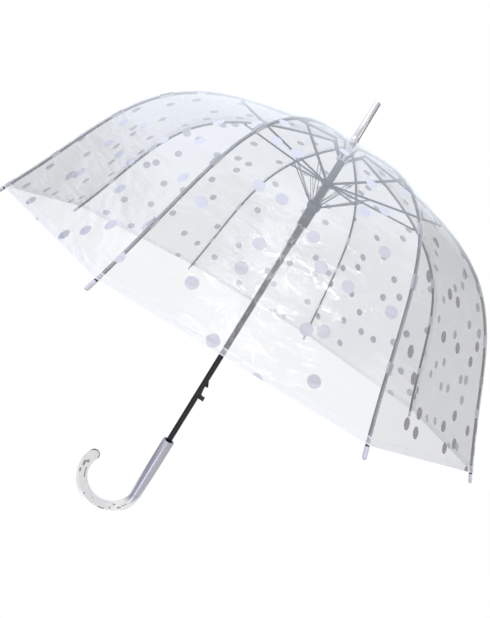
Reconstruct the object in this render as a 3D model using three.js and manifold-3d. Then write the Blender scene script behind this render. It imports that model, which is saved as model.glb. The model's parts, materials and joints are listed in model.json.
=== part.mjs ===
// Clear bubble umbrella, drawn open. Millimetres, +Z from the handle to the ferrule.
// The origin is the middle of the straight grip, on the axis of the shaft.
// Eight ribs hang on the crown. Each is drawn once in the XZ plane and turned to its place.
import * as THREE from 'three';
import { mergeVertices } from 'three/addons/utils/BufferGeometryUtils.js';
import Module from 'manifold-3d';

const wasm = await Module();
wasm.setup();

const degrees = THREE.MathUtils.degToRad;
const point = (x, y) => new THREE.Vector2(x, y);

// Driving dimensions. Heights are above the hem plane unless a comment says otherwise.
const RIBS = 8;
const HEM_RADIUS = 420;
const HEM_ABOVE_ORIGIN = 309;
const CROWN_RADIUS = 12;
const CROWN_HEIGHT = 335;
const CROWN_SLOPE = degrees(7.8);
const CROWN_REACH = 335;
const HEM_SLOPE = degrees(62.1);
const HEM_REACH = 211;
const CLEARANCE = 0.3;

// The rib is a channel that bends at two places when the canopy closes.
const RIB_WIDTH = 3.6;
const RIB_HALF_HEIGHT = 1.6;
const RIB_CHANNEL_WIDTH = 2.2;
const RIB_WEB = 0.8;
const RIB_JOINT_AT = 0.235;
const FIRST_BEND_AT = 0.35;
const SECOND_BEND_AT = 0.55;
// Half the cut between two stretches of rib, as a share of the rib line.
const BEND_CUT = 0.0003;
const RIB_START_AT = 0.016;
const RIB_PIVOT_HEIGHT = 312.5;
const PIVOT_CIRCLE = 9;
const JOINT_DEPTH = 4.2;
const PIN_RADIUS = 0.6;
const EYE_RADIUS = 1.8;
const EYE_HOLE = 0.95;
const TONGUE_WIDTH = 3;
const TONGUE_HALF_HEIGHT = 1.5;
const EAR_THICKNESS = 1;
const EAR_HALF_HEIGHT = 2;
const EAR_OUTSIDE = 2.7;

const STRETCHER_WIDTH = 2.8;
const STRETCHER_HALF_HEIGHT = 1.4;
const STRETCHER_WALL = 0.7;
// The groove stops this far from each eye, so that the eyes stay whole.
const STRETCHER_GROOVE_INSET = 4;
const STRUT_JOINT_FROM_HUB = 68;
const STRUT_WIRE = 1.3;
const STRUT_HALF_SPREAD = 2.7;
const STRUT_CIRCLE = 10.2;
const STRUT_PIVOT_HEIGHT = 225;
const STRUT_LOOP = 1.3;
// The hairpin is narrow up to here, where it has left the runner's slot, and full width at the flare.
const STRUT_NECK = 7;
const STRUT_FLARE = 14;

const FILM_INSIDE = 3;
const FILM_OUTSIDE = 3.3;
const FILM_HOLE_RADIUS = 8;

const SHAFT_RADIUS = 5;
const SHAFT_WALL = 0.8;
const SHAFT_TOP = 360;
const SHAFT_BOTTOM = -345;
const RUNNER_BORE = 5.5;
const SLEEVE_BORE = SHAFT_RADIUS + CLEARANCE;
const HUB_RADIUS = 10.8;
const HUB_HALF_HEIGHT = 4.5;
const HUB_SLOT_FLOOR = 6.9;
const HUB_SLOT_CLEARANCE = 0.6;
const CROWN_NECK_RADIUS = 6.7;
const CROWN_NECK_TOP = 336.3;
const UPPER_SLEEVE_RADIUS = 6.75;

const RUNNER_TOP = 230;
const RUNNER_BOTTOM = 150;
const COLLAR_RADIUS = 12;
const COLLAR_BOTTOM = 218.5;
const RUNNER_BODY_RADIUS = 9.3;
const RUNNER_BODY_BOTTOM = 183;
const RUNNER_NECK_RADIUS = 6.6;
const RUNNER_RIM_RADIUS = 7.4;
const RUNNER_SLOT_WIDTH = 4.7;
const RUNNER_SLOT_HEIGHT = 14;
const WINDOW_FLOOR = RUNNER_BOTTOM + 2.4;
const WINDOW_HEIGHT = 15;
const WINDOW_WIDTH = 4.4;

const SPRING_COIL_RADIUS = 7.3;
const SPRING_WIRE_RADIUS = 0.9;
const SPRING_TURNS = 8.5;
const SPRING_GAP = 1.3;

// The tube has a slot on the +X side for the catch and its button.
const TRIGGER_SLOT_TOP = -123;
const TRIGGER_SLOT_BOTTOM = -163;
const TRIGGER_SLOT_WIDTH = 4;
const TRIGGER_WIDTH = 3;

const GRIP_TOP = -252;
const GRIP_BOTTOM = -366;
const GRIP_RADIUS = 10.5;
const GRIP_RECESS = 9;
const GRIP_RECESS_RADIUS = 9.1;
const CROOK_RADIUS = 10;
const CROOK_BEND_RADIUS = 52;
const CROOK_TURN = degrees(205);
const SPIGOT_RADIUS = 6;
const SPIGOT_LENGTH = 12;

const FERRULE_BASE = 346.3;
const FERRULE_TIP = 418;
const WASHER_BOTTOM = 340;
const WASHER_RADIUS = 12;

const CAP_RADIUS = 2.5;
const CAP_NECK_RADIUS = 1.9;
const CAP_LENGTH = 14.8;

// The rib's centre line, from the crown to the hem, in the plane of the shaft and the rib.
const ribLine = new THREE.CubicBezierCurve(
  point(CROWN_RADIUS, CROWN_HEIGHT),
  point(
    CROWN_RADIUS + CROWN_REACH * Math.cos(CROWN_SLOPE),
    CROWN_HEIGHT - CROWN_REACH * Math.sin(CROWN_SLOPE),
  ),
  point(HEM_RADIUS - HEM_REACH * Math.cos(HEM_SLOPE), HEM_REACH * Math.sin(HEM_SLOPE)),
  point(HEM_RADIUS, 0),
);

// A point beside the rib line: above it where offset is positive, and inside it where negative.
function besideRib(at, offset) {
  const along = ribLine.getTangent(at);
  return ribLine.getPoint(at).add(point(-along.y, along.x).multiplyScalar(offset));
}

const ribPivot = point(PIVOT_CIRCLE, RIB_PIVOT_HEIGHT);
const ribJoint = besideRib(RIB_JOINT_AT, -JOINT_DEPTH);
// The rib and the stretcher are equal links, so the hub lies as far below the joint as the crown above.
const hubPivot = point(PIVOT_CIRCLE, 2 * ribJoint.y - RIB_PIVOT_HEIGHT);
const strutPivot = point(STRUT_CIRCLE, STRUT_PIVOT_HEIGHT);
const stretcherDirection = ribJoint.clone().sub(hubPivot).normalize();
const strutJoint = hubPivot.clone().add(stretcherDirection.clone().multiplyScalar(STRUT_JOINT_FROM_HUB));

const paint = {
  black: { color: 0x16181c, roughness: 0.35, metalness: 0.6 },
  steel: { color: 0x4a525e, roughness: 0.4, metalness: 0.7 },
  plastic: { color: 0x2a3038, roughness: 0.5, metalness: 0.0 },
  silver: { color: 0xc9cad2, roughness: 0.25, metalness: 0.8 },
  film: { color: 0xe9eef2, roughness: 0.1, metalness: 0.0 },
  acrylic: { color: 0xdfe3e6, roughness: 0.05, metalness: 0.0 },
  pale: { color: 0xd6d6dc, roughness: 0.4, metalness: 0.0 },
};

const umbrella = new THREE.Group();
// Everything on the shaft and the canopy is placed by its height above the hem plane.
const above = new THREE.Group();
above.position.z = HEM_ABOVE_ORIGIN;
umbrella.add(above);

function addPart(name, geometry, finish, turn = 0) {
  const mesh = new THREE.Mesh(geometry, new THREE.MeshStandardMaterial(paint[finish]));
  mesh.name = name;
  mesh.rotation.z = turn;
  above.add(mesh);
  return mesh;
}

// Joins and cuts.
function toSolid(geometry) {
  const bare = geometry.clone();
  bare.deleteAttribute('normal');
  bare.deleteAttribute('uv');
  const merged = mergeVertices(bare, 1e-4);
  return new wasm.Manifold(new wasm.Mesh({
    numProp: 3,
    vertProperties: merged.attributes.position.array,
    triVerts: Uint32Array.from(merged.index.array),
  }));
}

function toGeometry(solid) {
  const mesh = solid.getMesh();
  const geometry = new THREE.BufferGeometry();
  geometry.setAttribute('position', new THREE.BufferAttribute(mesh.vertProperties, 3));
  geometry.setIndex(new THREE.BufferAttribute(mesh.triVerts, 1));
  geometry.computeVertexNormals();
  return geometry;
}

function join(...geometries) {
  return toGeometry(geometries.map(toSolid).reduce((all, next) => all.add(next)));
}

function cut(geometry, ...tools) {
  return toGeometry(tools.map(toSolid).reduce((rest, tool) => rest.subtract(tool), toSolid(geometry)));
}

// An outline of radius and height, given a width across the rib's plane.
function plate(outline, width) {
  const geometry = new THREE.ExtrudeGeometry(new THREE.Shape(outline), {
    depth: width,
    bevelEnabled: false,
  });
  return geometry.translate(0, 0, -width / 2).rotateX(Math.PI / 2);
}

// A round bar or disc that lies across the rib's plane.
function crossBar(centre, radius, width, sides = 8) {
  return new THREE.CylinderGeometry(radius, radius, width, sides).translate(centre.x, 0, centre.y);
}

// A straight bar in the rib's plane from one point to another.
function bar(from, to, halfHeight, width) {
  const along = to.clone().sub(from).normalize();
  const up = point(-along.y, along.x).multiplyScalar(halfHeight);
  const outline = [
    from.clone().sub(up),
    to.clone().sub(up),
    to.clone().add(up),
    from.clone().add(up),
  ];
  return plate(outline, width);
}

// A solid turned about the shaft's axis from an outline of radius and height.
function turned(outline, sides = 20) {
  return new THREE.LatheGeometry(outline.map(([radius, height]) => point(radius, height)), sides)
    .rotateX(Math.PI / 2);
}

function ring(inner, outer, bottom, top, sides = 20) {
  return turned([[inner, bottom], [outer, bottom], [outer, top], [inner, top], [inner, bottom]], sides);
}

function ribTurn(index) {
  return (2 * Math.PI * (index + 0.5)) / RIBS;
}

// A stretch of rib: a strip between two offsets, along the rib line, run on past its ends by overrun.
function ribStrip(start, end, low, high, width, steps, overrun = 0) {
  const along = (offset) => Array.from({ length: steps + 1 }, (_, i) => {
    const at = start + ((end - start) * i) / steps;
    const runOn = i === 0 ? -overrun : (i === steps) * overrun;
    return besideRib(at, offset).add(ribLine.getTangent(at).multiplyScalar(runOn));
  });
  return plate([...along(high), ...along(low).reverse()], width);
}

function ribChannel(start, end, steps) {
  const whole = ribStrip(start, end, -RIB_HALF_HEIGHT, RIB_HALF_HEIGHT, RIB_WIDTH, steps);
  const floor = RIB_HALF_HEIGHT - RIB_WEB;
  const groove = ribStrip(start, end, -RIB_HALF_HEIGHT - 1, floor, RIB_CHANNEL_WIDTH, steps, 1);
  return cut(whole, groove);
}

function ribUpper() {
  const channel = ribChannel(RIB_START_AT, FIRST_BEND_AT - BEND_CUT, 7);
  const shoulder = ribLine.getPoint(RIB_START_AT + 0.002);
  const tongue = join(
    bar(ribPivot, shoulder, TONGUE_HALF_HEIGHT, TONGUE_WIDTH),
    crossBar(ribPivot, EYE_RADIUS, TONGUE_WIDTH),
    crossBar(shoulder, TONGUE_HALF_HEIGHT, TONGUE_WIDTH),
  );
  const eyed = cut(tongue, crossBar(ribPivot, EYE_HOLE, 2 * TONGUE_WIDTH));
  const ears = [-1, 1].map((side) => {
    const plateShift = side * (EAR_OUTSIDE - EAR_THICKNESS / 2);
    const lug = join(
      bar(ribJoint, besideRib(RIB_JOINT_AT, 0.6), EAR_HALF_HEIGHT, EAR_THICKNESS),
      crossBar(ribJoint, EAR_HALF_HEIGHT, EAR_THICKNESS),
    );
    return lug.translate(0, plateShift, 0);
  });
  const rivet = crossBar(ribJoint, PIN_RADIUS, 2 * EAR_OUTSIDE - 0.2);
  return join(channel, eyed, ...ears, rivet);
}

function stretcher() {
  const inset = stretcherDirection.clone().multiplyScalar(STRETCHER_GROOVE_INSET);
  const web = bar(hubPivot, ribJoint, STRETCHER_HALF_HEIGHT, STRETCHER_WIDTH);
  const grooveDrop = point(stretcherDirection.y, -stretcherDirection.x).multiplyScalar(2 * STRETCHER_WALL);
  const groove = bar(
    hubPivot.clone().add(inset).add(grooveDrop),
    ribJoint.clone().sub(inset).add(grooveDrop),
    2 * STRETCHER_HALF_HEIGHT - 1.1 * STRETCHER_WALL,
    STRETCHER_WIDTH - 2 * STRETCHER_WALL,
  );
  const body = join(
    cut(web, groove),
    crossBar(hubPivot, EYE_RADIUS, STRETCHER_WIDTH),
    crossBar(ribJoint, EYE_RADIUS, STRETCHER_WIDTH),
  );
  const hole = 2 * STRETCHER_WIDTH;
  return cut(body, crossBar(hubPivot, EYE_HOLE, hole), crossBar(ribJoint, EYE_HOLE, hole));
}

// A hairpin of wire: its closed end lies in the lower runner and its ends beside the stretcher.
function strut() {
  const length = strutJoint.distanceTo(strutPivot);
  const angle = Math.atan2(strutJoint.y - strutPivot.y, strutJoint.x - strutPivot.x);
  const half = STRUT_WIRE / 2;
  const outer = STRUT_HALF_SPREAD + half;
  const inner = STRUT_HALF_SPREAD - half;
  const outside = [
    point(length, outer),
    point(STRUT_FLARE, outer),
    point(STRUT_NECK, STRUT_LOOP + half),
    point(0, STRUT_LOOP + half),
    point(-half, STRUT_LOOP),
  ];
  const inside = [
    point(half, STRUT_LOOP - half),
    point(STRUT_NECK, STRUT_LOOP - half),
    point(STRUT_FLARE, inner),
    point(length, inner),
  ];
  const mirrored = (list) => list.map((p) => point(p.x, -p.y)).reverse();
  const hairpin = new THREE.Shape([...outside, ...mirrored(outside), ...mirrored(inside), ...inside]);
  const geometry = new THREE.ExtrudeGeometry(hairpin, { depth: STRUT_WIRE, bevelEnabled: false });
  geometry.translate(0, 0, -half);
  geometry.rotateY(-angle);
  return geometry.translate(strutPivot.x, 0, strutPivot.y);
}

// A plastic cap past the end of the rib.
function tipCap() {
  const outline = [
    [0, CLEARANCE],
    [CAP_NECK_RADIUS, CLEARANCE],
    [CAP_RADIUS, 2],
    [CAP_RADIUS, CAP_LENGTH - 3.3],
    [0.7 * CAP_RADIUS, CAP_LENGTH - 0.8],
    [0, CAP_LENGTH],
  ];
  const cap = turned(outline, 8);
  cap.rotateY(Math.PI / 2 + HEM_SLOPE);
  return cap.translate(HEM_RADIUS, 0, 0);
}

// The film: eight flat-sided gores from the crown to the hem, with a hole for the shaft.
function canopy() {
  const steps = 14;
  const places = Array.from({ length: steps + 1 }, (_, i) => i / steps);
  const crownEdge = (offset) => {
    const first = besideRib(0, offset);
    const rise = (first.x - FILM_HOLE_RADIUS) * Math.tan(CROWN_SLOPE);
    return point(FILM_HOLE_RADIUS, first.y + rise);
  };
  const outside = [crownEdge(FILM_OUTSIDE), ...places.map((at) => besideRib(at, FILM_OUTSIDE))];
  const inside = [crownEdge(FILM_INSIDE), ...places.map((at) => besideRib(at, FILM_INSIDE))];
  const outline = [...inside, ...outside.reverse(), inside[0]];
  return turned(outline.map((p) => [p.x, p.y]), RIBS);
}

// Eight radial slots, each with a pin across it, in a ring on the pivot circle.
function slottedHub(ringSolid, pivot, slotWidth, slotFloor, slotTop, slotBottom) {
  const slots = [];
  const pins = [];
  for (let i = 0; i < RIBS; i += 1) {
    const reach = 8;
    const slot = new THREE.BoxGeometry(reach, slotWidth, slotTop - slotBottom);
    slot.translate(slotFloor + reach / 2, 0, (slotTop + slotBottom) / 2);
    slots.push(slot.rotateZ(ribTurn(i)));
    pins.push(crossBar(pivot, PIN_RADIUS, slotWidth + 2 * PIN_RADIUS).rotateZ(ribTurn(i)));
  }
  return join(cut(ringSolid, ...slots), ...pins);
}

function crownNotch() {
  const bottom = RIB_PIVOT_HEIGHT - HUB_HALF_HEIGHT;
  const top = RIB_PIVOT_HEIGHT + HUB_HALF_HEIGHT;
  const body = turned([
    [SLEEVE_BORE, bottom],
    [HUB_RADIUS, bottom],
    [HUB_RADIUS, top - 1],
    [HUB_RADIUS - 1, top],
    [CROWN_NECK_RADIUS, top + 0.6],
    [CROWN_NECK_RADIUS, CROWN_NECK_TOP],
    [SLEEVE_BORE, CROWN_NECK_TOP],
    [SLEEVE_BORE, bottom],
  ]);
  return slottedHub(body, ribPivot, TONGUE_WIDTH + HUB_SLOT_CLEARANCE, HUB_SLOT_FLOOR, top + 1, bottom - 1);
}

function upperRunner() {
  const bottom = hubPivot.y - HUB_HALF_HEIGHT;
  const top = hubPivot.y + HUB_HALF_HEIGHT;
  const sleeveTop = RIB_PIVOT_HEIGHT - HUB_HALF_HEIGHT - 1;
  const body = turned([
    [RUNNER_BORE, bottom],
    [HUB_RADIUS, bottom],
    [HUB_RADIUS, top],
    [UPPER_SLEEVE_RADIUS, top + 0.6],
    [UPPER_SLEEVE_RADIUS, sleeveTop],
    [RUNNER_BORE, sleeveTop],
    [RUNNER_BORE, bottom],
  ]);
  return slottedHub(body, hubPivot, STRETCHER_WIDTH + HUB_SLOT_CLEARANCE, HUB_SLOT_FLOOR, top + 1, bottom - 1);
}

function lowerRunner() {
  const body = turned([
    [RUNNER_BORE, RUNNER_BOTTOM],
    [RUNNER_RIM_RADIUS, RUNNER_BOTTOM],
    [RUNNER_RIM_RADIUS, RUNNER_BOTTOM + 3],
    [RUNNER_NECK_RADIUS, RUNNER_BOTTOM + 4],
    [RUNNER_NECK_RADIUS, RUNNER_BODY_BOTTOM],
    [RUNNER_BODY_RADIUS - 0.5, RUNNER_BODY_BOTTOM],
    [RUNNER_BODY_RADIUS, RUNNER_BODY_BOTTOM + 1.5],
    [RUNNER_BODY_RADIUS, COLLAR_BOTTOM - 3],
    [COLLAR_RADIUS, COLLAR_BOTTOM],
    [COLLAR_RADIUS, RUNNER_TOP],
    [RUNNER_BORE, RUNNER_TOP],
    [RUNNER_BORE, RUNNER_BOTTOM],
  ]);
  const slotFloor = STRUT_CIRCLE - STRUT_WIRE / 2 - 0.5;
  const slots = Array.from({ length: RIBS }, (_, i) => {
    const slot = new THREE.BoxGeometry(8, RUNNER_SLOT_WIDTH, RUNNER_SLOT_HEIGHT);
    return slot.translate(slotFloor + 4, 0, STRUT_PIVOT_HEIGHT + 1).rotateZ(ribTurn(i));
  });
  // A window in the neck takes the catch when the umbrella is shut, and the rim below it is held down.
  const window = new THREE.BoxGeometry(6, WINDOW_WIDTH, WINDOW_HEIGHT)
    .translate(8, 0, WINDOW_FLOOR + WINDOW_HEIGHT / 2);
  return cut(body, ...slots, window);
}

function mainSpring() {
  const bottom = RUNNER_TOP + SPRING_GAP;
  const top = hubPivot.y - HUB_HALF_HEIGHT - SPRING_GAP;
  class Coil extends THREE.Curve {
    getPoint(t, target = new THREE.Vector3()) {
      const angle = 2 * Math.PI * SPRING_TURNS * t;
      return target.set(
        SPRING_COIL_RADIUS * Math.cos(angle),
        SPRING_COIL_RADIUS * Math.sin(angle),
        bottom + (top - bottom) * t,
      );
    }
  }
  const sides = 5;
  const wire = new THREE.Shape(Array.from({ length: sides }, (_, i) => {
    const angle = (2 * Math.PI * i) / sides;
    return point(SPRING_WIRE_RADIUS * Math.cos(angle), SPRING_WIRE_RADIUS * Math.sin(angle));
  }));
  return new THREE.ExtrudeGeometry(wire, { steps: 94, bevelEnabled: false, extrudePath: new Coil() });
}

function shaft() {
  const tube = ring(SHAFT_RADIUS - SHAFT_WALL, SHAFT_RADIUS, SHAFT_BOTTOM, SHAFT_TOP);
  const slotHeight = TRIGGER_SLOT_TOP - TRIGGER_SLOT_BOTTOM;
  const slot = new THREE.BoxGeometry(4, TRIGGER_SLOT_WIDTH, slotHeight);
  return cut(tube, slot.translate(SHAFT_RADIUS, 0, TRIGGER_SLOT_TOP - slotHeight / 2));
}

// A ramp that the lower runner rides over, with a square heel that holds it down.
function catchNose() {
  const outline = [
    point(0.5, -136),
    point(8.9, -136),
    point(9.2, -133.6),
    point(4.6, -124),
    point(0.5, -124),
  ];
  return plate(outline, TRIGGER_WIDTH);
}

function releaseButton() {
  const outline = [
    point(0.5, -161),
    point(10.8, -160.6),
    point(13.6, -161.6),
    point(14.4, -160.6),
    point(14.4, -153.6),
    point(13.6, -152.6),
    point(10.8, -153.6),
    point(6.2, -152),
    point(4.4, -139),
    point(0.5, -139),
  ];
  return plate(outline, TRIGGER_WIDTH);
}

function gripSleeve() {
  const socketTop = GRIP_BOTTOM + SPIGOT_LENGTH + 1;
  return turned([
    [SLEEVE_BORE, SHAFT_BOTTOM - 1],
    [SPIGOT_RADIUS - 2, SHAFT_BOTTOM - 1],
    [SPIGOT_RADIUS - 2, socketTop],
    [SPIGOT_RADIUS + CLEARANCE, socketTop],
    [SPIGOT_RADIUS + CLEARANCE, GRIP_BOTTOM],
    [GRIP_RADIUS - 0.4, GRIP_BOTTOM],
    [GRIP_RADIUS, GRIP_BOTTOM + 0.5],
    [GRIP_RADIUS, GRIP_TOP - 0.6],
    [GRIP_RADIUS - 0.6, GRIP_TOP],
    [GRIP_RECESS_RADIUS, GRIP_TOP],
    [GRIP_RECESS_RADIUS, GRIP_TOP - GRIP_RECESS],
    [SLEEVE_BORE, GRIP_TOP - GRIP_RECESS],
    [SLEEVE_BORE, SHAFT_BOTTOM - 1],
  ]);
}

function crook() {
  const start = GRIP_BOTTOM - CLEARANCE;
  class Bend extends THREE.Curve {
    getPoint(t, target = new THREE.Vector3()) {
      const angle = CROOK_TURN * t;
      return target.set(
        CROOK_BEND_RADIUS * (Math.cos(angle) - 1),
        0,
        start - CROOK_BEND_RADIUS * Math.sin(angle),
      );
    }
  }
  const sides = 12;
  const section = new THREE.Shape(Array.from({ length: sides }, (_, i) => {
    const angle = (2 * Math.PI * i) / sides;
    return point(CROOK_RADIUS * Math.cos(angle), CROOK_RADIUS * Math.sin(angle));
  }));
  const bend = new Bend();
  const tube = new THREE.ExtrudeGeometry(section, { steps: 18, bevelEnabled: false, extrudePath: bend });
  const end = bend.getPoint(1);
  const knob = new THREE.SphereGeometry(CROOK_RADIUS * 0.99, 12, 8).translate(end.x, end.y, end.z);
  const spigot = turned([
    [0, start - 2],
    [SPIGOT_RADIUS, start - 2],
    [SPIGOT_RADIUS, start + SPIGOT_LENGTH],
    [0, start + SPIGOT_LENGTH],
  ], 12);
  return join(tube, knob, spigot);
}

function ferrule() {
  const socketTop = SHAFT_TOP + 1;
  return turned([
    [0, socketTop],
    [SLEEVE_BORE, socketTop],
    [SLEEVE_BORE, FERRULE_BASE],
    [8, FERRULE_BASE],
    [7.9, FERRULE_BASE + 1.2],
    [6.6, FERRULE_BASE + 6],
    [5.8, FERRULE_TIP - 0.8],
    [5, FERRULE_TIP],
    [0, FERRULE_TIP],
  ]);
}

function crownWasher() {
  return turned([
    [SLEEVE_BORE, WASHER_BOTTOM],
    [WASHER_RADIUS, WASHER_BOTTOM],
    [WASHER_RADIUS, WASHER_BOTTOM + 1.2],
    [8.6, FERRULE_BASE - CLEARANCE],
    [SLEEVE_BORE, FERRULE_BASE - CLEARANCE],
    [SLEEVE_BORE, WASHER_BOTTOM],
  ]);
}

addPart('shaft', shaft(), 'black');
addPart('ferrule', ferrule(), 'silver');
addPart('crown_washer', crownWasher(), 'pale');
addPart('crown_notch', crownNotch(), 'pale');
addPart('canopy', canopy(), 'film', ribTurn(0) - Math.PI / 2);
addPart('upper_runner', upperRunner(), 'plastic');
addPart('main_spring', mainSpring(), 'steel');
addPart('lower_runner', lowerRunner(), 'plastic');
addPart('catch', catchNose(), 'black');
addPart('release_button', releaseButton(), 'black');
addPart('grip_sleeve', gripSleeve(), 'silver');
addPart('crook', crook(), 'acrylic');

const ribShapes = {
  upper: ribUpper(),
  middle: ribChannel(FIRST_BEND_AT + BEND_CUT, SECOND_BEND_AT - BEND_CUT, 4),
  lower: ribChannel(SECOND_BEND_AT + BEND_CUT, 1, 6),
};
const stretcherShape = stretcher();
const strutShape = strut();
const tipShape = tipCap();

for (let i = 0; i < RIBS; i += 1) {
  const name = `rib_${i + 1}`;
  addPart(`${name}_upper`, ribShapes.upper, 'black', ribTurn(i));
  addPart(`${name}_middle`, ribShapes.middle, 'black', ribTurn(i));
  addPart(`${name}_lower`, ribShapes.lower, 'black', ribTurn(i));
  addPart(`${name}_tip`, tipShape, 'pale', ribTurn(i));
  addPart(`stretcher_${i + 1}`, stretcherShape, 'steel', ribTurn(i));
  addPart(`strut_${i + 1}`, strutShape, 'steel', ribTurn(i));
}

export default umbrella;
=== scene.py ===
import json
import math

import bpy
from mathutils import Matrix, Vector


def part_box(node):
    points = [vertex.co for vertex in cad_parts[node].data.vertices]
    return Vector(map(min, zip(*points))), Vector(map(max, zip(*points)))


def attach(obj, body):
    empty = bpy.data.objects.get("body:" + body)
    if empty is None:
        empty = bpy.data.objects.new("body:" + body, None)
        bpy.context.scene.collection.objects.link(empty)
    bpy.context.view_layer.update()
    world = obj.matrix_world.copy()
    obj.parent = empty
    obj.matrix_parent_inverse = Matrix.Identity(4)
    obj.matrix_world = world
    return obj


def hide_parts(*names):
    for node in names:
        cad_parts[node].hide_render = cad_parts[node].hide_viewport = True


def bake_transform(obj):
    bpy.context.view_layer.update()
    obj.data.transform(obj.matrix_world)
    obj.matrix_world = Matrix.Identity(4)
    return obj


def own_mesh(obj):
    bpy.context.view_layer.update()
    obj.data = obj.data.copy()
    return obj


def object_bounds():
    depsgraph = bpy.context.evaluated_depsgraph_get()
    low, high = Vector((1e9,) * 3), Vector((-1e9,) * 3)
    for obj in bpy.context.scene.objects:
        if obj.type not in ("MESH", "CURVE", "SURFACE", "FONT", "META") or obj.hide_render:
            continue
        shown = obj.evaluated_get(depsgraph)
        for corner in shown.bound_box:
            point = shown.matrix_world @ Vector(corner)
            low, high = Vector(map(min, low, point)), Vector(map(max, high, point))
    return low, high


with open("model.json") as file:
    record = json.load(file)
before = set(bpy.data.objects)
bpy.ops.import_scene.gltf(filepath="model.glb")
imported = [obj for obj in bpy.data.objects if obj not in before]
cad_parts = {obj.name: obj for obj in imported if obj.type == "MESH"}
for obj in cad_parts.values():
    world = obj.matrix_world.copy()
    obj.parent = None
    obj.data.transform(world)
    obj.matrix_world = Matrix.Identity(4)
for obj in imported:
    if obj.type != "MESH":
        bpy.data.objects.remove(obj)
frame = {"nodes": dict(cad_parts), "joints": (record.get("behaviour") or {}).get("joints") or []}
cad_box = [list(corner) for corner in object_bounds()]
scene = bpy.context.scene
scene.view_settings.view_transform = "Standard"

# Heights are in metres above the hem plane, and HEM is that plane's own height.
joints = {joint["name"]: joint for joint in frame["joints"]}
RIB_PIVOT_HEIGHT = 0.3125
HEM = joints["canopy_fold"]["pos_m"][2] - RIB_PIVOT_HEIGHT
RIBS = 8
GORE = 2 * math.pi / RIBS
HALF_GORE = GORE / 2

# The rib's line from the crown to the hem, as one Bezier curve of radius and height.
CROWN = Vector((0.012, 0.335))
HEM_END = Vector((0.420, 0.0))
CROWN_SLOPE = math.radians(7.8)
HEM_SLOPE = math.radians(62.1)
CROWN_HANDLE = CROWN + 0.335 * Vector((math.cos(CROWN_SLOPE), -math.sin(CROWN_SLOPE)))
HEM_HANDLE = HEM_END + 0.211 * Vector((-math.cos(HEM_SLOPE), math.sin(HEM_SLOPE)))

# How far along that line each rib flexes, and where its two drawn channels meet.
FIRST_BEND = 0.35
MIDDLE_SPLIT = 0.45
SECOND_BEND = 0.55


def rib_point(at):
    """Radius and height on the rib's line."""
    back = 1 - at
    return (
        back**3 * CROWN
        + 3 * back**2 * at * CROWN_HANDLE
        + 3 * back * at**2 * HEM_HANDLE
        + at**3 * HEM_END
    )


def rib_slope(at):
    """How the rib's line changes with at, as radius and height."""
    back = 1 - at
    return (
        3 * back**2 * (CROWN_HANDLE - CROWN)
        + 6 * back * at * (HEM_HANDLE - CROWN_HANDLE)
        + 3 * at**2 * (HEM_END - HEM_HANDLE)
    )


def beside_rib(at, offset):
    """A point that far outside the rib's line, or inside it where offset is below 0."""
    along = rib_slope(at).normalized()
    return rib_point(at) + offset * Vector((-along.y, along.x))


def rib_turn(rib):
    """Azimuth of rib 1 to 8."""
    return GORE * (rib - 0.5)


def around(azimuth, radius, height):
    """A point in space from its azimuth, its radius and its height."""
    return Vector((radius * math.cos(azimuth), radius * math.sin(azimuth), HEM + height))


# ---------------------------------------------------------------- camera
# It stands inside arm's reach of the hem and is rolled, so that the shaft leans to the right.
CAMERA_PLACE = Vector((-0.0339, -0.9374, HEM + 0.108))
AIM = Vector((0.0, 0.0, HEM))
AIM_RIGHT = -0.008
AIM_UP = 0.016
ROLL = math.radians(31.70)
SENSOR = 36
LENS = 32.19

forward = (AIM - CAMERA_PLACE).normalized()
right = forward.cross(Vector((0, 0, 1))).normalized()
up = right.cross(forward)
forward = (forward + AIM_RIGHT * right + AIM_UP * up).normalized()
right = forward.cross(Vector((0, 0, 1))).normalized()
up = right.cross(forward)
rolled_right = math.cos(ROLL) * right + math.sin(ROLL) * up
rolled_up = -math.sin(ROLL) * right + math.cos(ROLL) * up
turn = Matrix((rolled_right, rolled_up, -forward)).transposed().to_4x4()
bpy.ops.object.camera_add()
camera = bpy.context.object
camera.name = "view_camera"
camera.matrix_world = Matrix.Translation(CAMERA_PLACE) @ turn
camera.data.sensor_width = SENSOR
camera.data.lens = LENS
camera.data.clip_start = 0.01
scene.camera = camera


# ---------------------------------------------------------------- helpers for modelling
def deselect():
    if bpy.context.object and bpy.context.object.mode != "OBJECT":
        bpy.ops.object.mode_set(mode="OBJECT")
    bpy.ops.object.select_all(action="DESELECT")


def pick(piece):
    deselect()
    piece.select_set(True)
    bpy.context.view_layer.objects.active = piece


def settle(piece, smooth_angle=35):
    """Puts the piece's place into its mesh and shades it smooth, except at its hard edges."""
    pick(piece)
    bpy.ops.object.transform_apply(location=True, rotation=True, scale=True)
    bpy.ops.object.shade_smooth_by_angle(angle=math.radians(smooth_angle))


def bevel(piece, width, segments=2, angle=40):
    pick(piece)
    modifier = piece.modifiers.new("edge", "BEVEL")
    modifier.width = width
    modifier.segments = segments
    modifier.limit_method = "ANGLE"
    modifier.angle_limit = math.radians(angle)
    bpy.ops.object.modifier_apply(modifier=modifier.name)


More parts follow.
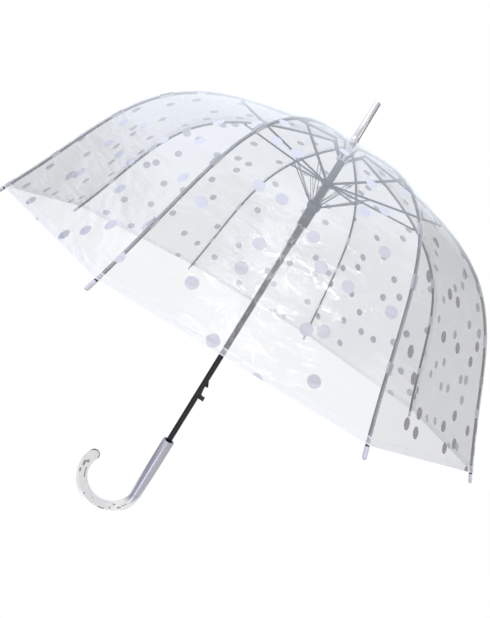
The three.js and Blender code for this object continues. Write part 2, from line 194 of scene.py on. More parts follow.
def turned(name, outline, segments=48, closed_loop=False, base=HEM):
    """A lathe piece: a circle on the Z axis, extruded and scaled from one outline point to the next.

    Outline points are a radius and a height above base, in millimetres.
    """
    deselect()
    outline = [(radius / 1000, height / 1000) for radius, height in outline]
    radius, height = outline[0]
    bpy.ops.mesh.primitive_circle_add(vertices=segments, radius=radius, location=(0, 0, base + height))
    piece = bpy.context.object
    piece.name = name
    bpy.ops.object.transform_apply(location=True)
    bpy.ops.object.mode_set(mode="EDIT")
    if not closed_loop:
        bpy.ops.mesh.edge_face_add()
        bpy.ops.mesh.select_all(action="SELECT")
    for next_radius, next_height in outline[1:]:
        rise = (0, 0, next_height - height)
        bpy.ops.mesh.extrude_region_move(TRANSFORM_OT_translate={"value": rise})
        grow = next_radius / radius
        bpy.ops.transform.resize(value=(grow, grow, 1), center_override=(0, 0, base + next_height))
        radius, height = next_radius, next_height
    bpy.ops.mesh.select_all(action="SELECT")
    bpy.ops.mesh.remove_doubles(threshold=1e-6)
    bpy.ops.mesh.normals_make_consistent(inside=False)
    bpy.ops.object.mode_set(mode="OBJECT")
    return piece


def refined(node, width):
    """A CAD node's shape with its edges rounded, as a new piece that stands for the node."""
    deselect()
    piece = bpy.data.objects.new(f"{node}_finish", frame["nodes"][node].data.copy())
    scene.collection.objects.link(piece)
    piece.data.materials.clear()
    pick(piece)
    bpy.ops.object.mode_set(mode="EDIT")
    bpy.ops.mesh.select_all(action="SELECT")
    bpy.ops.mesh.remove_doubles(threshold=2e-5)
    bpy.ops.mesh.dissolve_limited(angle_limit=math.radians(1.5))
    bpy.ops.object.mode_set(mode="OBJECT")
    bevel(piece, width)
    settle(piece, 32)
    return piece


def copy_at(piece, name, azimuth):
    """A copy with its own mesh, turned about the shaft's axis."""
    twin = piece.copy()
    twin.data = piece.data.copy()
    twin.data.transform(Matrix.Rotation(azimuth, 4, "Z"))
    twin.name = name
    scene.collection.objects.link(twin)
    return twin


def discard(piece):
    bpy.data.objects.remove(piece)


def finish(piece, material, slot, body=None, *nodes):
    """Gives the piece its material, sets it on its body and lets it stand for CAD nodes. The slot argument
    is not used.
    """
    piece.data.materials.clear()
    piece.data.materials.append(material)
    if body:
        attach(piece, body)
    if nodes:
        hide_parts(*nodes)


# ---------------------------------------------------------------- helpers for materials
class Recipe:
    """A material with short calls for its nodes."""

    def __init__(self, name):
        self.material = bpy.data.materials.new(name)
        self.material.use_nodes = True
        self.nodes = self.material.node_tree.nodes
        self.links = self.material.node_tree.links
        self.shader = self.nodes["Principled BSDF"]
        self.output = self.nodes["Material Output"]

    def link(self, source, target):
        self.links.new(source, target)

    def set(self, **values):
        for key, value in values.items():
            self.shader.inputs[key.replace("_", " ")].default_value = value

    def place(self, stretch=(1, 1, 1), output="Object"):
        where = self.nodes.new("ShaderNodeTexCoord")
        mapping = self.nodes.new("ShaderNodeMapping")
        mapping.inputs["Scale"].default_value = stretch
        self.link(where.outputs[output], mapping.inputs["Vector"])
        return mapping.outputs["Vector"]

    def noise(self, vector, scale, detail=4.0, roughness=0.5, distortion=0.0):
        noise = self.nodes.new("ShaderNodeTexNoise")
        noise.inputs["Scale"].default_value = scale
        noise.inputs["Detail"].default_value = detail
        noise.inputs["Roughness"].default_value = roughness
        noise.inputs["Distortion"].default_value = distortion
        self.link(vector, noise.inputs["Vector"])
        return noise.outputs["Fac"]

    def spread(self, value, low, high, to_low, to_high, smooth=False):
        """A value between low and high, spread over to_low and to_high."""
        spread = self.nodes.new("ShaderNodeMapRange")
        spread.interpolation_type = "SMOOTHSTEP" if smooth else "LINEAR"
        ends = {"From Min": low, "From Max": high, "To Min": to_low, "To Max": to_high}
        for key, number in ends.items():
            spread.inputs[key].default_value = number
        self.link(value, spread.inputs["Value"])
        return spread.outputs["Result"]

    def math(self, operation, first, second):
        node = self.nodes.new("ShaderNodeMath")
        node.operation = operation
        for slot, value in zip(node.inputs, (first, second)):
            if isinstance(value, (int, float)):
                slot.default_value = value
            else:
                self.link(value, slot)
        return node.outputs["Value"]

    def colours(self, value, first, second):
        ramp = self.nodes.new("ShaderNodeMix")
        ramp.data_type = "RGBA"
        ramp.inputs[6].default_value = (*first, 1)
        ramp.inputs[7].default_value = (*second, 1)
        self.link(value, ramp.inputs[0])
        return ramp.outputs[2]

    def blended(self, share, first, second):
        """Two shaders mixed, with that share of the second."""
        mix = self.nodes.new("ShaderNodeMixShader")
        self.link(share, mix.inputs["Fac"])
        self.link(first, mix.inputs[1])
        self.link(second, mix.inputs[2])
        return mix.outputs["Shader"]

    def bump(self, height, strength, distance):
        bump = self.nodes.new("ShaderNodeBump")
        bump.inputs["Strength"].default_value = strength
        bump.inputs["Distance"].default_value = distance
        self.link(height, bump.inputs["Height"])
        return bump.outputs["Normal"]


def worn(name, first, second, roughness, metallic, grain, bump, stretch=(1, 1, 1)):
    """A hard finish: two close tones, an uneven gloss and a fine grain of that many grains a metre."""
    recipe = Recipe(name)
    shader = recipe.shader
    vector = recipe.place(stretch)
    clouds = recipe.noise(vector, grain / 6, 3)
    fine = recipe.noise(vector, grain, 6, 0.6)
    patches = recipe.spread(clouds, 0.35, 0.65, 0, 1)
    recipe.link(recipe.colours(patches, first, second), shader.inputs["Base Color"])
    recipe.link(recipe.spread(fine, 0.3, 0.7, *roughness), shader.inputs["Roughness"])
    recipe.link(recipe.bump(fine, 0.25, bump), shader.inputs["Normal"])
    recipe.set(Metallic=metallic)
    return recipe.material


# ---------------------------------------------------------------- materials
black_enamel = worn(
    "black_enamel", (0.008, 0.008, 0.010), (0.016, 0.016, 0.019),
    roughness=(0.22, 0.36), metallic=0.0, grain=900, bump=0.00005, stretch=(1, 1, 0.2),
)
rib_enamel = worn(
    "rib_enamel", (0.10, 0.104, 0.115), (0.16, 0.165, 0.18),
    roughness=(0.24, 0.36), metallic=0.8, grain=700, bump=0.00003, stretch=(1, 1, 0.5),
)
blued_steel = worn(
    "blued_steel", (0.085, 0.10, 0.125), (0.13, 0.15, 0.185),
    roughness=(0.3, 0.48), metallic=0.65, grain=800, bump=0.00005, stretch=(1, 1, 0.3),
)
slate_nylon = worn(
    "slate_nylon", (0.035, 0.047, 0.072), (0.055, 0.072, 0.105),
    roughness=(0.22, 0.36), metallic=0.0, grain=600, bump=0.00008,
)
crown_nylon = worn(
    "crown_nylon", (0.62, 0.64, 0.74), (0.74, 0.75, 0.83),
    roughness=(0.3, 0.42), metallic=0.0, grain=400, bump=0.0001,
)
cap_nylon = worn(
    "cap_nylon", (0.58, 0.58, 0.66), (0.68, 0.68, 0.76),
    roughness=(0.3, 0.45), metallic=0.0, grain=500, bump=0.0001,
)
spring_wire = worn(
    "spring_wire", (0.06, 0.07, 0.09), (0.11, 0.125, 0.155),
    roughness=(0.25, 0.4), metallic=0.7, grain=700, bump=0.00005,
)
polished_metal = worn(
    "polished_metal", (0.60, 0.60, 0.61), (0.66, 0.66, 0.665),
    roughness=(0.16, 0.24), metallic=0.9, grain=120, bump=0.000002, stretch=(1, 1, 0.08),
)
silver_lacquer = worn(
    "silver_lacquer", (0.60, 0.61, 0.69), (0.64, 0.65, 0.73),
    roughness=(0.24, 0.28), metallic=0.85, grain=120, bump=0.000002, stretch=(1, 1, 0.05),
)
button_plastic = worn(
    "button_plastic", (0.012, 0.013, 0.015), (0.024, 0.026, 0.03),
    roughness=(0.35, 0.5), metallic=0.0, grain=900, bump=0.0001,
)
bubble_skin = worn(
    "bubble_skin", (0.30, 0.30, 0.31), (0.46, 0.46, 0.47),
    roughness=(0.12, 0.3), metallic=0.6, grain=900, bump=0.00005,
)


def tab_material():
    """The film's doubled tabs at the ribs: milky and half clear."""
    recipe = Recipe("tab_film")
    shader = recipe.shader
    mottle = recipe.noise(recipe.place(), 350, 3)
    tone = recipe.colours(mottle, (0.74, 0.75, 0.80), (0.86, 0.87, 0.90))
    recipe.link(tone, shader.inputs["Base Color"])
    recipe.link(recipe.spread(mottle, 0.3, 0.7, 0.2, 0.35), shader.inputs["Roughness"])
    recipe.link(recipe.bump(mottle, 0.3, 0.0002), shader.inputs["Normal"])
    recipe.set(Alpha=0.72)
    return recipe.material


tab_film = tab_material()


def clear_acrylic(top, fade, reach):
    """Clear resin with faint swirls, silvered where it meets the grip: over fade down and reach across."""
    recipe = Recipe("clear_acrylic")
    shader = recipe.shader
    vector = recipe.place()
    recipe.set(IOR=1.49, Roughness=0.04)
    split = recipe.nodes.new("ShaderNodeSeparateXYZ")
    recipe.link(vector, split.inputs["Vector"])
    swirl = recipe.noise(vector, 90, 3, 0.55, 0.8)
    silvered = recipe.math(
        "MULTIPLY",
        recipe.spread(split.outputs["Z"], top - fade, top, 0, 1, True),
        recipe.spread(split.outputs["X"], -reach, -0.6 * reach, 0, 1, True),
    )
    tone = recipe.colours(silvered, (0.965, 0.97, 0.975), (0.60, 0.61, 0.68))
    recipe.link(tone, shader.inputs["Base Color"])
    recipe.link(recipe.spread(silvered, 0, 1, 1.0, 0.0), shader.inputs["Transmission Weight"])
    recipe.link(recipe.spread(silvered, 0, 1, 0.0, 0.8), shader.inputs["Metallic"])
    recipe.link(recipe.bump(swirl, 0.35, 0.0006), shader.inputs["Normal"])
    return recipe.material


# The printed dots: the width of the cells that hold one each, and a dot's radius to its soft edge.
DOT_SPACING = 0.060
DOT_EDGE = (0.0074, 0.0078)

# Where the hem's marks start and end above its lower edge, and the weld's edge beside the rib.
HEM_BAND = (0.0092, 0.0086)
HEM_LINE_END = (0.0078, 0.0070)
HEM_LIP = (0.0022, 0.0012)
WELD_EDGE = (0.0022, 0.0027)

# How milky the film gets at those marks, and all over at the most.
HAZE = {"hem": 0.22, "hem lines": 0.30, "weld": 0.12}
MOST_HAZE = 0.9
CLEAR_TINT = (0.925, 0.93, 0.94)


def film_dots(recipe, cut):
    """1 on a silver dot. The dots are scattered, one to a cell."""
    cells = recipe.nodes.new("ShaderNodeTexVoronoi")
    cells.voronoi_dimensions = "2D"
    cells.inputs["Scale"].default_value = 1 / DOT_SPACING
    cells.inputs["Randomness"].default_value = 0.85
    recipe.link(cut, cells.inputs["Vector"])
    full, none = (edge / DOT_SPACING for edge in DOT_EDGE)
    return recipe.spread(cells.outputs["Distance"], full, none, 1, 0, True)


def film_welds(recipe, cut, length):
    """1 in the hem band, on the hem's two lines, and on the weld along each rib."""
    split = recipe.nodes.new("ShaderNodeSeparateXYZ")
    recipe.link(cut, split.inputs["Vector"])
    down = split.outputs["Y"]
    seam = recipe.nodes.new("ShaderNodeAttribute")
    seam.attribute_name = "seam_gap"
    band = recipe.spread(down, length - HEM_BAND[0], length - HEM_BAND[1], 0, 1, True)
    line_end = recipe.spread(down, length - HEM_LINE_END[0], length - HEM_LINE_END[1], 1, 0, True)
    lip = recipe.spread(down, length - HEM_LIP[0], length - HEM_LIP[1], 0, 1, True)
    lines = recipe.math("ADD", recipe.math("MULTIPLY", band, line_end), lip)
    weld = recipe.spread(seam.outputs["Fac"], *WELD_EDGE, 1, 0, True)
    return band, lines, weld


def film_haze(recipe, facing, soft, welds):
    """How milky the film is: more at a slant, in soft patches, in the hem and on the welds."""
    slanted = recipe.spread(recipe.math("POWER", facing, 3.0), 0, 1, 0.0, 0.30)
    haze = recipe.math("ADD", slanted, recipe.spread(soft, 0.35, 0.7, 0.09, 0.15))
    for mark, share in zip(welds, HAZE.values()):
        haze = recipe.math("ADD", haze, recipe.math("MULTIPLY", mark, share))
    return recipe.math("MINIMUM", haze, MOST_HAZE)


def film_pane(recipe, facing, normal):
    """The clear part of the film: seen through, with a shine that grows at a slant."""
    clear = recipe.nodes.new("ShaderNodeBsdfTransparent")
    clear.inputs["Color"].default_value = (*CLEAR_TINT, 1)
    shine = recipe.nodes.new("ShaderNodeBsdfGlossy")
    shine.inputs["Roughness"].default_value = 0.05
    recipe.link(normal, shine.inputs["Normal"])
    gloss = recipe.spread(recipe.math("POWER", facing, 5.0), 0, 1, 0.15, 0.85)
    return recipe.blended(gloss, clear.outputs["BSDF"], shine.outputs["BSDF"])


def film_material(length):
    """Clear soft film with silver dots, a welded hem and a weld at each rib. Its UV map is in metres."""
    recipe = Recipe("dotted_film")
    shader = recipe.shader
    cut = recipe.place(output="UV")
    dots = film_dots(recipe, cut)
    welds = film_welds(recipe, cut, length)
    soft = recipe.noise(cut, 9, 2, 0.5, 0.6)
    crease = recipe.noise(recipe.place((1.0, 3.2, 1.0), "UV"), 14, 5, 0.55, 1.4)
    weight = recipe.nodes.new("ShaderNodeLayerWeight")
    weight.inputs["Blend"].default_value = 0.5
    facing = weight.outputs["Facing"]
    body = recipe.math("MAXIMUM", film_haze(recipe, facing, soft, welds), dots)

    tone = recipe.colours(dots, (0.92, 0.95, 1.0), (0.62, 0.62, 0.69))
    recipe.link(tone, shader.inputs["Base Color"])
    recipe.link(recipe.math("MULTIPLY", dots, 0.7), shader.inputs["Metallic"])
    recipe.link(recipe.spread(dots, 0, 1, 0.10, 0.34), shader.inputs["Roughness"])
    waves = recipe.math("MULTIPLY", soft, 2.0)
    waves = recipe.math("ADD", waves, recipe.math("MULTIPLY", crease, 0.7))
    normal = recipe.bump(waves, 0.35, 0.006)
    recipe.link(normal, shader.inputs["Normal"])
    pane = film_pane(recipe, facing, normal)
    whole = recipe.blended(body, pane, shader.outputs["BSDF"])
    recipe.link(whole, recipe.output.inputs["Surface"])
    return recipe.material


# ---------------------------------------------------------------- the film
# Each stretch of a rib: its name, where it starts and ends along the rib's line, and its rows of film.
STRETCHES = (
    ("upper", 0.0, FIRST_BEND, 18),
    ("middle", FIRST_BEND, SECOND_BEND, 12),
    ("lower", SECOND_BEND, 1.0, 24),
)
FILM_OFFSET = 0.00315
FILM_HOLE_RADIUS = 0.008
FILM_COLUMNS = 12
ACROSS = FILM_COLUMNS + 1

# How far each gore's UV map lies beside the last, in metres, so that no two have the same dots.
GORE_SHIFT = 0.61


def film_rows(start, end, steps):
    """Points of radius and height down the film over a rib, with the rib's slope at each."""
    marks = [start + (end - start) * i / steps for i in range(steps + 1)]
    rows = [beside_rib(at, FILM_OFFSET) for at in marks]
    slopes = [rib_slope(at).normalized() for at in marks]
    if start == 0:
        first, slope = rows[0], slopes[0]
        rise = (first.x - FILM_HOLE_RADIUS) * -slope.y / slope.x
        rows.insert(0, Vector((FILM_HOLE_RADIUS, first.y + rise)))
        slopes.insert(0, slope)
    return rows, slopes


def cut_length(rows):
    """How long the film is, measured down the rib."""
    return sum((b - a).length for a, b in zip(rows, rows[1:]))


def panel_points(rib, side, rows, slopes, cut_start):
    """Half a gore's points with their normals, UV places and distances from the rib."""
    azimuth = rib_turn(rib)
    middle = azimuth + side * HALF_GORE
    outward = Vector((math.cos(middle), math.sin(middle), 0))
    upward = Vector((0, 0, math.cos(HALF_GORE)))
    gore = (rib if side > 0 else rib - 1) % RIBS
    vertices, normals, places, gaps = [], [], [], []
    down = cut_start
    for i, (row, slope) in enumerate(zip(rows, slopes)):
        if i:
            down += (row - rows[i - 1]).length
        at_rib = around(azimuth, row.x, row.y)
        at_middle = around(middle, row.x * math.cos(HALF_GORE), row.y)
        half_width = row.x * math.sin(HALF_GORE)
        normal = (-slope.y * outward + slope.x * upward).normalized()
        for j in range(ACROSS):
            share = j / FILM_COLUMNS
            vertices.append(at_rib.lerp(at_middle, share))
            normals.append(normal)
            places.append((gore * GORE_SHIFT - side * half_width * (1 - share), down))
            gaps.append(half_width * share)
    return vertices, normals, places, gaps


def panel_faces(side, strips):
    faces = []
    for i in range(strips):
        for j in range(FILM_COLUMNS):
            corner = i * ACROSS + j
            face = (corner, corner + ACROSS, corner + ACROSS + 1, corner + 1)
            faces.append(face if side > 0 else face[::-1])
    return faces


def panel_mesh(title, vertices, faces, normals, places, gaps):
    """The panel's mesh with its UV map and its distance from the weld."""
    mesh = bpy.data.meshes.new(title)
    mesh.from_pydata(vertices, [], faces)
    layer = mesh.uv_layers.new(name="cut")
    for loop in mesh.loops:
        layer.data[loop.index].uv = places[loop.vertex_index]
    gap = mesh.attributes.new("seam_gap", "FLOAT", "POINT")
    gap.data.foreach_set("value", gaps)
    mesh.polygons.foreach_set("use_smooth", [True] * len(faces))
    mesh.normals_split_custom_set_from_vertices(normals)
    return mesh


def film_panel(rib, side, name, start, end, steps, cut_start):
    """Half a gore's width of film beside one stretch of a rib, from the rib to the gore's middle."""
    rows, slopes = film_rows(start, end, steps)
    vertices, normals, places, gaps = panel_points(rib, side, rows, slopes, cut_start)
    faces = panel_faces(side, len(rows) - 1)
    title = f"film_{rib}_{name}_{'left' if side > 0 else 'right'}"
    panel = bpy.data.objects.new(title, panel_mesh(title, vertices, faces, normals, places, gaps))
    scene.collection.objects.link(panel)
    finish(panel, film, "film", f"rib_{rib}_{name}", "canopy")

    first, last = vertices[0], vertices[-ACROSS]
    middle = rib_turn(rib) + side * HALF_GORE
    chord = (last - first).normalized()
    crosswise = side * Vector((-math.sin(middle), math.cos(middle), 0))
    crosswise = (crosswise - crosswise.dot(chord) * chord).normalized()
    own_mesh(panel)


lengths = [cut_length(film_rows(start, end, steps)[0]) for _, start, end, steps in STRETCHES]
film = film_material(sum(lengths))
for rib in range(1, RIBS + 1):
    for side in (1, -1):
        cut_start = 0.0
        for (name, start, end, steps), length in zip(STRETCHES, lengths):
            film_panel(rib, side, name, start, end, steps, cut_start)
            cut_start += length


# ---------------------------------------------------------------- ribs
# The channel's outline in millimetres, open towards the shaft.
RIB_PROFILE = (
    (-1.6, 0.9), (-1.4, 1.4), (-0.9, 1.6), (0.9, 1.6), (1.4, 1.4), (1.6, 0.9),
    (1.6, -1.6), (1.0, -1.6), (1.0, 0.8), (-1.0, 0.8), (-1.0, -1.6), (-1.6, -1.6),
)


def outline_curve(name, outline):
    """A closed flat outline, in millimetres, to sweep along a rib."""
    curve = bpy.data.curves.new(name, "CURVE")
    curve.dimensions = "2D"
    curve.fill_mode = "NONE"
    line = curve.splines.new("POLY")
    line.points.add(len(outline) - 1)
    for spot, (x, y) in zip(line.points, outline):
        spot.co = (x / 1000, y / 1000, 0, 1)
    line.use_cyclic_u = True
    profile = bpy.data.objects.new(name, curve)
    scene.collection.objects.link(profile)
    return profile


def swept_rib(name, start, end, steps, profile):
    """A stretch of channel along the rib's line, drawn at azimuth 0."""
    deselect()
    bpy.ops.curve.primitive_bezier_curve_add()
    piece = bpy.context.object
    piece.name = name
    spots = piece.data.splines[0].bezier_points
    for spot, at in zip(spots, (start, end)):
        place = rib_point(at)
        pull = rib_slope(at) * (end - start) / 3
        spot.handle_left_type = spot.handle_right_type = "FREE"
        spot.co = (place.x, 0, HEM + place.y)
        spot.handle_left = (place.x - pull.x, 0, HEM + place.y - pull.y)
        spot.handle_right = (place.x + pull.x, 0, HEM + place.y + pull.y)
    piece.data.twist_mode = "Z_UP"
    piece.data.resolution_u = steps
    piece.data.bevel_mode = "OBJECT"
    piece.data.bevel_object = profile
    piece.data.use_fill_caps = True
    pick(piece)
    bpy.ops.object.convert(target="MESH")
    piece = bpy.context.object
    bpy.ops.object.mode_set(mode="EDIT")
    bpy.ops.mesh.select_all(action="SELECT")
    bpy.ops.mesh.remove_doubles(threshold=1e-6)
    bpy.ops.mesh.normals_make_consistent(inside=False)
    bpy.ops.object.mode_set(mode="OBJECT")
    settle(piece)
    return piece


def block(start, end, half_height, width, across=0.0):
    """A flat bar in the rib's plane, drawn at azimuth 0 from one point of radius and height to another."""
    deselect()
    middle, run = (start + end) / 2, end - start
    place = (middle.x, across, HEM + middle.y)
    lean = (0, -math.atan2(run.y, run.x), 0)
    bpy.ops.mesh.primitive_cube_add(size=1, location=place, rotation=lean)
    piece = bpy.context.object
    piece.scale = (run.length, width, 2 * half_height)
    settle(piece)
    bevel(piece, 0.0002, 2)
    return piece


def pin(place, radius, width, across=0.0):
    """A round pin or eye across the rib's plane, with its rims rounded."""
    deselect()
    middle = (place.x, across, HEM + place.y)
    sideways = (math.pi / 2, 0, 0)
    bpy.ops.mesh.primitive_cylinder_add(
        vertices=20, radius=radius, depth=width, location=middle, rotation=sideways
    )
    piece = bpy.context.object
    settle(piece)
    bevel(piece, 0.00015, 2)
    return piece


def joined(name, *pieces):
    """One piece out of several."""
    deselect()
    for piece in pieces:
        piece.select_set(True)
    bpy.context.view_layer.objects.active = pieces[0]
    bpy.ops.object.join()
    pieces[0].name = name
    settle(pieces[0])
    return pieces[0]


RIB_START = 0.016
RIB_JOINT = 0.235
TONGUE_WIDTH = 0.003
EAR_SHIFT = 0.002
EAR_RADIUS = 0.002
EAR_THICKNESS = 0.0009
PIN_RADIUS = 0.0008
PIN_LENGTH = 0.0064
rib_pivot = Vector((0.009, RIB_PIVOT_HEIGHT))
stretcher_pivot = beside_rib(RIB_JOINT, -0.0042)
profile = outline_curve("rib_profile", RIB_PROFILE)
shoulder = rib_point(RIB_START + 0.003)
ear_root = beside_rib(RIB_JOINT, 0.0004)
ear_sides = (EAR_SHIFT, -EAR_SHIFT)
inner_rib = joined(
    "inner_rib",
    swept_rib("channel", RIB_START, MIDDLE_SPLIT, 44, profile),
    block(rib_pivot, shoulder, 0.0015, TONGUE_WIDTH),
    pin(rib_pivot, 0.0018, TONGUE_WIDTH),
    *[block(stretcher_pivot, ear_root, EAR_RADIUS, EAR_THICKNESS, across) for across in ear_sides],
    *[pin(stretcher_pivot, EAR_RADIUS, EAR_THICKNESS, across) for across in ear_sides],
    pin(stretcher_pivot, PIN_RADIUS, PIN_LENGTH),
)
outer_rib = swept_rib("outer_rib", MIDDLE_SPLIT, 1.0, 52, profile)
discard(profile)
for rib in range(1, RIBS + 1):
    azimuth = rib_turn(rib)
    inner = copy_at(inner_rib, f"rib_{rib}_inner_channel", azimuth)
    outer = copy_at(outer_rib, f"rib_{rib}_outer_channel", azimuth)
    finish(inner, rib_enamel, "black_steel")
    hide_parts(f"rib_{rib}_upper")
    finish(outer, rib_enamel, "black_steel")
    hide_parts(f"rib_{rib}_middle", f"rib_{rib}_lower")
    for piece, bend, first, second in (
        (inner, FIRST_BEND, "upper", "middle"),
        (outer, SECOND_BEND, "middle", "lower"),
    ):
        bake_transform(piece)
discard(inner_rib)
discard(outer_rib)

for rib in range(1, RIBS + 1):
    stretcher = frame["nodes"][f"stretcher_{rib}"]
    stretcher.data.materials.clear()
    stretcher.data.materials.append(blued_steel)

# ---------------------------------------------------------------- struts and spring
STRUT_LENGTH = 82.65
STRUT_ANGLE = math.radians(36.71)
STRUT_FOOT = Vector((0.0102, 0.225))
WIRE_RADIUS = 0.00065

# Half the hairpin in millimetres, from its open end to its bend on the runner's pin.
HAIRPIN = (
    (STRUT_LENGTH, 2.7), (14.5, 2.7), (12.5, 2.5), (8.5, 1.5),
    (6.5, 1.3), (0.3, 1.3), (-0.35, 0.95), (-0.6, 0.4),
)


def wire_strut():
    """A hairpin of round wire, drawn flat and then laid from the lower runner to its stretcher."""
    curve = bpy.data.curves.new("strut", "CURVE")
    curve.dimensions = "3D"
    line = curve.splines.new("POLY")
    run = [*HAIRPIN, *[(x, -y) for x, y in reversed(HAIRPIN)]]
    line.points.add(len(run) - 1)
    for spot, (x, y) in zip(line.points, run):
        spot.co = (x / 1000, y / 1000, 0, 1)
    curve.bevel_depth = WIRE_RADIUS
    curve.bevel_resolution = 3
    curve.use_fill_caps = True
    piece = bpy.data.objects.new("strut", curve)
    scene.collection.objects.link(piece)
    pick(piece)
    bpy.ops.object.convert(target="MESH")
    piece = bpy.context.object
    piece.rotation_euler = (0, -STRUT_ANGLE, 0)
    piece.location = (STRUT_FOOT.x, 0, HEM + STRUT_FOOT.y)
    settle(piece, 50)
    return piece


strut = wire_strut()
for rib in range(1, RIBS + 1):
    twin = copy_at(strut, f"strut_{rib}_wire", rib_turn(rib))
    finish(twin, blued_steel, "dark_steel", f"strut_{rib}", f"strut_{rib}")
discard(strut)

SPRING_TURNS = 8.5
SPRING_WIRE = 0.0009
SPRING_RADIUS = 0.0073
SPRING_STEPS = 28
RUNNER_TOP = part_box("lower_runner")[1].z
SPRING_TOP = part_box("main_spring")[1].z - SPRING_WIRE
SPRING_BOTTOM = RUNNER_TOP + 0.0022


def coil_spring():
    """A circle of wire screwed up the shaft's axis, with both its ends filled."""
    deselect()
    foot = (SPRING_RADIUS, 0, SPRING_BOTTOM)
    bpy.ops.mesh.primitive_circle_add(
        vertices=12, radius=SPRING_WIRE, location=foot, rotation=(math.pi / 2, 0, 0)
    )
    spring = bpy.context.object
    spring.name = "spring_coil"
    bpy.ops.object.transform_apply(location=True, rotation=True)
    screw = spring.modifiers.new("coil", "SCREW")
    screw.angle = 2 * math.pi * SPRING_TURNS
    screw.screw_offset = SPRING_TOP - SPRING_BOTTOM
    screw.steps = screw.render_steps = int(SPRING_TURNS * SPRING_STEPS)
    pick(spring)
    bpy.ops.object.modifier_apply(modifier="coil")
    bpy.ops.object.mode_set(mode="EDIT")
    bpy.ops.mesh.select_all(action="SELECT")
    bpy.ops.mesh.fill_holes(sides=0)
    bpy.ops.mesh.select_all(action="SELECT")
    bpy.ops.mesh.normals_make_consistent(inside=False)
    settle(spring, 60)
    return spring


spring = coil_spring()
finish(spring, spring_wire, "spring_steel", "upper_runner", "main_spring")
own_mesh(spring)

# ---------------------------------------------------------------- tips and tabs on the ribs
CAP_OUTLINE = (
    (1.75, 1.3), (2.35, 1.3), (2.5, 2.2), (2.5, 11.4), (2.42, 12.5),
    (2.1, 13.5), (1.5, 14.3), (0.8, 14.7), (0.2, 14.8),
)
COLLAR_OUTLINE = ((1.5, 0.3), (2.2, 0.3), (2.35, 0.6), (2.35, 1.0), (2.2, 1.3), (1.5, 1.3))
TIP_SEGMENTS = 24


def tip_piece(name, outline):
    """A lathe piece drawn along +Z and laid past the rib's end."""
    piece = turned(name, outline, TIP_SEGMENTS, base=0)
    piece.rotation_euler = (0, math.pi / 2 + HEM_SLOPE, 0)
    piece.location = (HEM_END.x, 0, HEM)
    settle(piece)
    return piece


cap = tip_piece("cap", CAP_OUTLINE)
collar = tip_piece("collar", COLLAR_OUTLINE)
for rib in range(1, RIBS + 1):
    body = f"rib_{rib}_lower"
    rib_cap = copy_at(cap, f"tip_{rib}_cap", rib_turn(rib))
    rib_collar = copy_at(collar, f"tip_{rib}_collar", rib_turn(rib))
    finish(rib_cap, cap_nylon, "pale_plastic", body, f"rib_{rib}_tip")
    finish(rib_collar, button_plastic, "dark_plastic", body)
discard(cap)
discard(collar)

# A tab wraps round its rib and is welded to the film at both edges. Its outline is in millimetres.
TAB_PROFILE = (
    (-3.6, 2.95), (-2.7, 1.4), (-2.35, -1.2), (-1.9, -2.1),
    (1.9, -2.1), (2.35, -1.2), (2.7, 1.4), (3.6, 2.95),
    (3.2, 3.0), (2.35, 1.5), (2.0, -1.1), (1.7, -1.75),
    (-1.7, -1.75), (-2.0, -1.1), (-2.35, 1.5), (-3.2, 3.0),
)

# Each tab's stretch of rib, and the heights of its top and bottom.
TABS = (("middle", 0.2385, 0.2250), ("lower", 0.1790, 0.1630), ("lower", 0.0825, 0.0705))


def at_height(height):
    """How far along the rib's line that height is."""
    low, high = 0.0, 1.0
    for _ in range(40):
        half = (low + high) / 2
        low, high = (half, high) if rib_point(half).y > height else (low, half)
    return low


tab_profile = outline_curve("tab_profile", TAB_PROFILE)
for number, (stretch, top, bottom) in enumerate(TABS, 1):
    tab = swept_rib("tab", at_height(top), at_height(bottom), 10, tab_profile)
    for rib in range(1, RIBS + 1):
        twin = copy_at(tab, f"rib_{rib}_tab_{number}", rib_turn(rib))
        finish(twin, tab_film, "film", f"rib_{rib}_{stretch}")
    discard(tab)
discard(tab_profile)

# ---------------------------------------------------------------- shaft, runners and handle
for node, material, slot, body in (
    ("shaft", black_enamel, "black_steel", "shaft_and_handle"),
    ("crown_notch", crown_nylon, "pale_plastic", "shaft_and_handle"),
    ("upper_runner", slate_nylon, "dark_plastic", "upper_runner"),
    ("lower_runner", slate_nylon, "dark_plastic", "lower_runner"),
    ("catch", black_enamel, "black_steel", "release"),
    ("release_button", button_plastic, "dark_plastic", "release"),
):
    finish(refined(node, 0.00025), material, slot, body, node)

FERRULE_OUTLINE = (
    (5.3, 361), (5.3, 346.3), (8, 346.3), (8, 347.2), (7.4, 349.0),
    (6.8, 351.4), (6.55, 354), (5.8, 417.2), (5.5, 417.8), (5.0, 418),
)
DISC_OUTLINE = (
    (5.3, 340), (11.6, 340), (12, 340.4), (12, 341.0),
    (11.6, 341.5), (8.7, 346), (5.3, 346), (5.3, 340),
)
SLEEVE_OUTLINE = (
    (5.3, -346), (4, -346), (4, -353), (6.3, -353), (6.3, -366), (10.2, -366), (10.5, -365.7),
    (10.5, -252.5), (10.3, -252.1), (9.8, -252), (9.3, -252.2), (9.1, -252.6),
    (9.1, -261), (5.3, -261), (5.3, -346),
)
ferrule = turned("ferrule_cap", FERRULE_OUTLINE)
settle(ferrule)
finish(ferrule, polished_metal, "polished", "shaft_and_handle", "ferrule")
washer = turned("crown_disc", DISC_OUTLINE, closed_loop=True)
settle(washer)
finish(washer, crown_nylon, "pale_plastic", "shaft_and_handle", "crown_washer")
sleeve = turned("grip_tube", SLEEVE_OUTLINE, closed_loop=True)
settle(sleeve)
finish(sleeve, silver_lacquer, "silver", "shaft_and_handle", "grip_sleeve")

